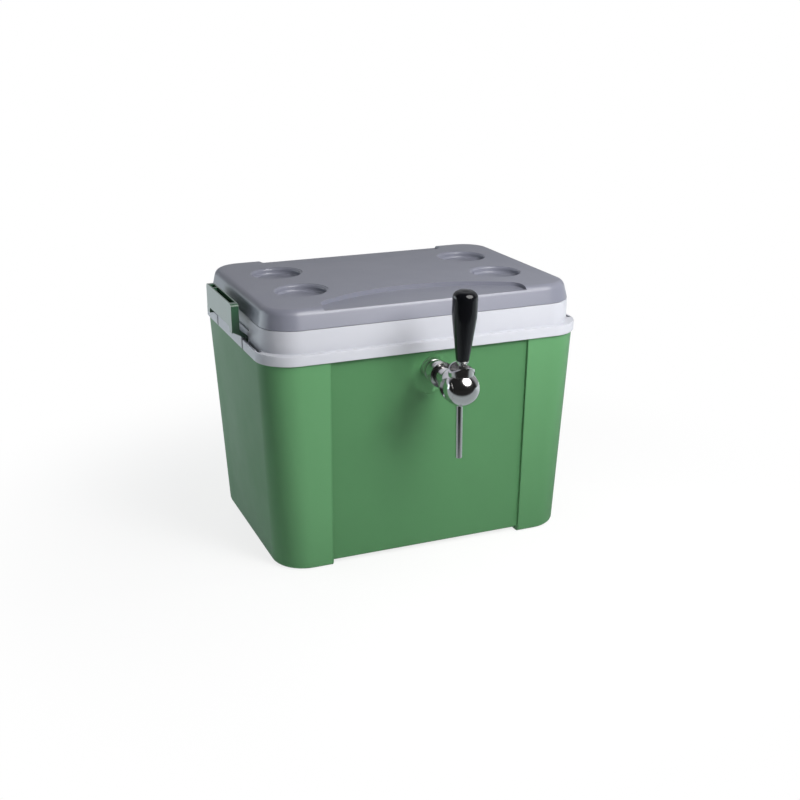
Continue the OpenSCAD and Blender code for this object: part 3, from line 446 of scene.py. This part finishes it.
post_sheen_group.links.new(maths(post_sheen_group, "MULTIPLY", post_strips, post_height), post_out.inputs["Mask"])
# Painted sheen: this lighter green on the corner posts stands in for light, not for wear.
lightened(tub_green, post_sheen_group, (0.098, 0.262, 0.113))
paint(tub_green, "outer_shell")
soften("outer_shell", 0.0014)

foam_paint, foam_tree = new_material("poured_foam")
foam_shader = surface(foam_tree, Roughness=0.9)
foam_cells = add(foam_tree, "ShaderNodeTexVoronoi", Scale=900.0)
foam_place = add(foam_tree, "ShaderNodeTexCoord")
foam_tree.links.new(foam_place.outputs["Object"], foam_cells.inputs["Vector"])
foam_tree.links.new(
    blend_colour(foam_tree, foam_cells.outputs["Distance"], (0.72, 0.6, 0.33), (0.86, 0.76, 0.5)),
    foam_shader.inputs["Base Color"])
bumped(foam_tree, foam_shader, foam_cells.outputs["Distance"], 0.0004)
paint(foam_paint, "foam_insulation", "lid_foam")


# Liner, flange and collar ---------------------------------------------------------------
# One pale grey moulding is the ice space's walls, the collar that the lid sits on and the
# flange over the tub's edge. The handles' lugs, slots and tongues are part of it.
def even_shading(node_name):
    """Lets a node's large faces set its normals, so a shallow curve shades without facets."""
    even = nodes[node_name].modifiers.new("even_shading", "WEIGHTED_NORMAL")
    even.mode = "FACE_AREA"
    even.weight = 50


liner_grey = moulded_plastic(
    "liner_grey", (0.51, 0.52, 0.565), (0.465, 0.475, 0.52), (0.66, 0.66, 0.68), 0.34, wear=0.25)
paint(liner_grey, "inner_liner")
soften("inner_liner", 0.0008, flat=0.05)
even_shading("inner_liner")


# Side handles ---------------------------------------------------------------------------
# Each handle is a green moulding with open pockets along its top edge and two arms, which
# turn on short steel pins in the flange.
handle_green = moulded_plastic(
    "handle_green", (0.026, 0.09, 0.044), (0.021, 0.075, 0.037), (0.15, 0.24, 0.17), 0.34,
    wear=0.5, shine=0.8, coat=1.0)
paint(handle_green, "left_handle", "right_handle")
soften("left_handle", 0.0006)
soften("right_handle", 0.0006)

# Metal carries fine hairlines and faint smudges, in one node group.
hairline_group, h_in, h_out = surface_group(
    "hairlines", [("Across Scale", 40.0), ("Along Scale", 1800.0)], ["Height", "Smudge"])
hair_place = add(hairline_group, "ShaderNodeTexCoord")
hair_stretch = add(hairline_group, "ShaderNodeCombineXYZ")
hairline_group.links.new(h_in.outputs["Across Scale"], hair_stretch.inputs["X"])
hairline_group.links.new(h_in.outputs["Along Scale"], hair_stretch.inputs["Y"])
hairline_group.links.new(h_in.outputs["Across Scale"], hair_stretch.inputs["Z"])
hair_scaled = add(hairline_group, "ShaderNodeVectorMath", operation="MULTIPLY")
hairline_group.links.new(hair_place.outputs["Object"], hair_scaled.inputs[0])
hairline_group.links.new(hair_stretch.outputs[0], hair_scaled.inputs[1])
hairline_group.links.new(noise(hairline_group, 1.0, 2.0, 0.6, hair_scaled.outputs[0]),
                         h_out.inputs["Height"])
smudge_scale = 55.0
hairline_group.links.new(noise(hairline_group, smudge_scale, 3.0, 0.55), h_out.inputs["Smudge"])


def dressed(tree, shader, cloud, height, tones, roughness, depth):
    """Gives a shader two cloudy tones, a range of roughness and bump."""
    tree.links.new(blend_colour(tree, cloud, *tones), shader.inputs["Base Color"])
    tree.links.new(spread(tree, cloud, *roughness), shader.inputs["Roughness"])
    bumped(tree, shader, height, depth)


def turned_steel(name, colour, gloss, across=60.0, along=2400.0, depth=0.00001):
    """Bright steel with fine turning lines."""
    material, tree = new_material(name)
    shader = surface(tree, Metallic=1.0)
    lines = placed(tree, hairline_group, Across_Scale=across, Along_Scale=along)
    smudged = tuple(c * 0.86 for c in colour)
    dressed(tree, shader, lines.outputs["Smudge"], lines.outputs["Height"],
            (smudged, colour), (gloss - 0.04, gloss + 0.06), depth)
    return material


pin_steel = turned_steel("pin_steel", (0.66, 0.67, 0.68), 0.22)
paint(pin_steel, "handle_pins", "lever_pin")
soften("handle_pins", 0.0002, 2)
soften("lever_pin", 0.0002, 2)


# Lid ------------------------------------------------------------------------------------
# A grey moulded shell with four cup holders and a curved finger recess on each long edge,
# closed from below by a pale pan whose plug fits loosely in the ice space.
lid_grey = moulded_plastic(
    "lid_grey", (0.196, 0.203, 0.25), (0.179, 0.185, 0.229), (0.27, 0.27, 0.31), 0.34,
    wear=0.3, dust=0.04, shine=0.85)
paint(lid_grey, "lid_shell")
soften("lid_shell", 0.0012, flat=0.05)
even_shading("lid_shell")
pan_grey = moulded_plastic(
    "pan_grey", (0.74, 0.75, 0.77), (0.68, 0.69, 0.71), (0.82, 0.82, 0.83), 0.4, wear=0.2)
paint(pan_grey, "lid_liner")
soften("lid_liner", 0.0008)


# Tap's metal pieces ---------------------------------------------------------------------
# Brass castings, turned, polished and plated: the flange nut, the coupling, the ball-shaped
# body with its side caps, the bonnet, the ferrule and the spout. The shank, the valve's
# plunger and the lever's stem are plain turned steel.
def plated_chrome(name, gloss, smudge):
    """Polished chrome whose smudges are rougher by smudge."""
    material, tree = new_material(name)
    shader = surface(tree, Metallic=1.0)
    lines = placed(tree, hairline_group, Across_Scale=300.0, Along_Scale=900.0)
    dressed(tree, shader, lines.outputs["Smudge"], lines.outputs["Height"],
            ((0.70, 0.69, 0.69), (0.80, 0.79, 0.79)), (gloss, gloss + smudge), 0.000002)
    return material


def soften_turned(width, segments, *node_names):
    """Rounds the edges of turned nodes, whose fine facets all stay."""
    for node_name in node_names:
        soften(node_name, width, segments, merge=0.000002, flat=0)


tap_chrome = plated_chrome("tap_chrome", 0.1, 0.07)
chrome_nodes = ("wall_flange", "coupling_nut", "tap_body", "side_caps", "bonnet", "lever_ferrule")
paint(tap_chrome, *chrome_nodes)
soften_turned(0.0004, 3, *chrome_nodes)
spout_chrome = plated_chrome("spout_chrome", 0.1, 0.1)
paint(spout_chrome, "spout_tube")
soften_turned(0.0003, 2, "spout_tube")

valve_steel = turned_steel("valve_steel", (0.6, 0.6, 0.61), 0.2)
steel_nodes = ("valve_plunger", "lever_stem", "tap_shank")
paint(valve_steel, *steel_nodes)
soften_turned(0.0002, 2, *steel_nodes)


# Washers and sleeves --------------------------------------------------------------------
# Black rubber rings seal the joints of the tap and the walls. A large clear plastic washer
# lies between the tap's flange and the tub. Grey plastic sleeves line the walls' two holes.
rubber_black, rubber_tree = new_material("rubber_black")
rubber_shader = surface(rubber_tree, Specular_IOR_Level=0.4)
rubber_skin = placed(rubber_tree, grain_group, Grain_Scale=2600.0, Cloud_Scale=60.0)
dressed(rubber_tree, rubber_shader, rubber_skin.outputs["Cloud"], rubber_skin.outputs["Height"],
        ((0.012, 0.012, 0.013), (0.03, 0.03, 0.032)), (0.45, 0.62), 0.00002)
rubber_nodes = ("flange_ring", "barrel_ring", "inner_washer", "inlet_washers", "tube_seals",
                "valve_washer")
paint(rubber_black, *rubber_nodes)
soften_turned(0.0003, 2, *rubber_nodes)

clear_plastic, clear_tree = new_material("clear_plastic")
clear_shader = surface(clear_tree, Transmission_Weight=1.0, IOR=1.05)
clear_skin = placed(clear_tree, grain_group, Grain_Scale=900.0, Cloud_Scale=40.0)
dressed(clear_tree, clear_shader, clear_skin.outputs["Cloud"], clear_skin.outputs["Height"],
        ((0.93, 0.96, 0.94), (0.98, 1.0, 0.98)), (0.02, 0.1), 0.00001)
paint(clear_plastic, "clear_washer")
soften_turned(0.0003, 2, "clear_washer")

sleeve_grey = moulded_plastic(
    "sleeve_grey", (0.5, 0.5, 0.52), (0.44, 0.44, 0.46), (0.6, 0.6, 0.6), 0.42)
paint(sleeve_grey, "shank_sleeve", "inlet_sleeve")


# Lever grip -----------------------------------------------------------------------------
# A tapered gloss-black phenolic grip, screwed on the lever's stem over the ferrule.
grip_black, grip_tree = new_material("grip_black")
grip_shader = surface(grip_tree, Specular_IOR_Level=0.5)
grip_skin = placed(grip_tree, grain_group, Grain_Scale=300.0, Cloud_Scale=45.0)
grip_worn = placed(grip_tree, wear_group, Radius=0.001, Amount=0.25)
dressed(grip_tree, grip_shader, grip_skin.outputs["Cloud"], grip_skin.outputs["Height"],
        ((0.0022, 0.0024, 0.0034), (0.0045, 0.0048, 0.006)), (0.1, 0.2), 0.000015)
grip_base = grip_shader.inputs["Base Color"]
grip_body = grip_base.links[0].from_socket
grip_tree.links.new(
    blend_colour(grip_tree, grip_worn.outputs["Mask"], grip_body, (0.03, 0.03, 0.033)), grip_base)
paint(grip_black, "lever_grip")
soften_turned(0.0004, 3, "lever_grip")


# Brass nuts and the inlet ---------------------------------------------------------------
# The lock nuts and union nuts inside the box are machined brass. The inlet is a stainless
# bulkhead fitting with a plain stem for a quick fitting.
brass, brass_tree = new_material("machined_brass")
brass_shader = surface(brass_tree, Metallic=1.0)
brass_lines = placed(brass_tree, hairline_group, Across_Scale=90.0, Along_Scale=1600.0)
dressed(brass_tree, brass_shader, brass_lines.outputs["Smudge"], brass_lines.outputs["Height"],
        ((0.50, 0.36, 0.13), (0.72, 0.55, 0.25)), (0.29, 0.4), 0.00001)
brass_nodes = ("shank_nut", "shank_tail_nut", "inlet_nut", "inlet_tail_nut")
paint(brass, *brass_nodes)
soften_turned(0.0005, 2, *brass_nodes)
inlet_steel = turned_steel("inlet_steel", (0.64, 0.65, 0.66), 0.2)
paint(inlet_steel, "inlet_fitting")
soften_turned(0.0004, 2, "inlet_fitting")


# Cooling coil ---------------------------------------------------------------------------
# One bright-drawn stainless tube: in from the back wall, down, round and up in close turns,
# and out to the shank. Three bent steel straps keep its turns apart.
tube_r = 0.004
coil_r = 0.098
coil_pitch = 0.0105
coil_turns = 18
coil_step = 6
bend_r = 0.016
bend_step = 9
down_y = 0.108
tap_z = 0.2725
floor_z = 0.032
floor_gap = 0.0003
coil_x = bend_r
coil_z0 = floor_z + tube_r + floor_gap
coil_end = 180 + 360 * coil_turns
coil_z1 = coil_z0 + coil_pitch * coil_end / 360


def bend(middle, start, finish):
    """A quarter bend of the tube round middle, without its first point."""
    turns = [math.radians(a) for a in range(bend_step, 91, bend_step)]
    return [middle + bend_r * (start * math.cos(turn) + finish * math.sin(turn)) for turn in turns]


def run(start, finish, count):
    """A straight run of the tube, without its first point."""
    return [start.lerp(finish, i / count) for i in range(1, count + 1)]


def turn_point(a):
    """The tube's middle at an angle of a degrees, drawn in over its first half turn."""
    turn = math.radians(a)
    reach = coil_r
    if a < 180:
        reach += (down_y - coil_r) * (1 + math.cos(turn)) / 2
    return Vector((coil_x + reach * math.sin(turn), reach * math.cos(turn),
                   coil_z0 + coil_pitch * a / 360))


X, Y, Z = Vector((1, 0, 0)), Vector((0, 1, 0)), Vector((0, 0, 1))
lead = 2 * tube_r
back_turn = Vector((0, down_y + bend_r, tap_z))
down_foot = Vector((0, down_y, coil_z0 + bend_r))
up_foot = Vector((0, -coil_r, coil_z1 + bend_r))
up_top = Vector((0, -coil_r, tap_z - bend_r))
route = [back_turn + lead * Y, back_turn]
route += bend(back_turn - bend_r * Z, Z, -Y)
route += run(Vector((0, down_y, tap_z - bend_r)), down_foot, 8)
route += bend(down_foot + bend_r * X, -X, -Z)
route += [turn_point(a) for a in range(coil_step, coil_end + 1, coil_step)]
route += bend(up_foot + bend_r * X, -Z, -X)
route += run(up_foot, up_top, 2)
route += bend(up_top - bend_r * Y, Y, Z)
route += [Vector((0, -coil_r - bend_r - lead, tap_z))]


def round_tube(name, points, radius, sides):
    """A tube along points, carried along without twist."""
    mesh = bmesh.new()
    across = None
    rings = []
    for i, point in enumerate(points):
        ahead = (points[min(i + 1, len(points) - 1)] - points[max(i - 1, 0)]).normalized()
        if across is None:
            across = ahead.orthogonal()
        across = (across - across.dot(ahead) * ahead).normalized()
        over = ahead.cross(across)
        rings.append([mesh.verts.new(point + radius * (math.cos(2 * math.pi * k / sides) * across
                                                       + math.sin(2 * math.pi * k / sides) * over))
                      for k in range(sides)])
    for near, far in zip(rings, rings[1:]):
        for k in range(sides):
            mesh.faces.new((near[k], near[(k + 1) % sides], far[(k + 1) % sides], far[k]))
    mesh.faces.new(rings[0][::-1])
    mesh.faces.new(rings[-1])
    for face in mesh.faces:
        face.smooth = True
    data = bpy.data.meshes.new(name)
    mesh.to_mesh(data)
    mesh.free()
    tube = bpy.data.objects.new(name, data)
    scene.collection.objects.link(tube)
    return tube


coil_tube = round_tube("coil_tube", route, tube_r, sides=14)
coil_steel = turned_steel(
    "coil_steel", (0.68, 0.69, 0.7), 0.16, across=500.0, along=500.0, depth=0.000004)
coil_tube.data.materials.append(coil_steel)
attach(coil_tube, "cooler")
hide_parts("cooling_coil")
strap_steel = turned_steel("strap_steel", (0.6, 0.61, 0.62), 0.28, across=400.0, along=30.0)
paint(strap_steel, "coil_straps")
soften_turned(0.0003, 2, "coil_straps")


# Screw thread ---------------------------------------------------------------------------
# The shank is threaded where its nuts hold it: a fine helical ridge shows between the lock
# nut and the union nut inside the box.
thread_pitch = 0.0013
thread_r = 0.0109
ridge_r = thread_pitch * 0.3
thread_length = 0.0052
thread_gap = 0.0055
thread_start = -coil_r - bend_r - lead - thread_gap
thread_turns = thread_length / thread_pitch
thread_steps = 127
thread_points = []
for i in range(thread_steps + 1):
    share = i / thread_steps
    turn = 2 * math.pi * thread_turns * share
    thread_points.append(Vector((thread_r * math.cos(turn), thread_start - thread_length * share,
                                 tap_z + thread_r * math.sin(turn))))
shank_thread = round_tube("shank_thread", thread_points, ridge_r, sides=6)
shank_thread.data.materials.append(inlet_steel)
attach(shank_thread, "cooler")
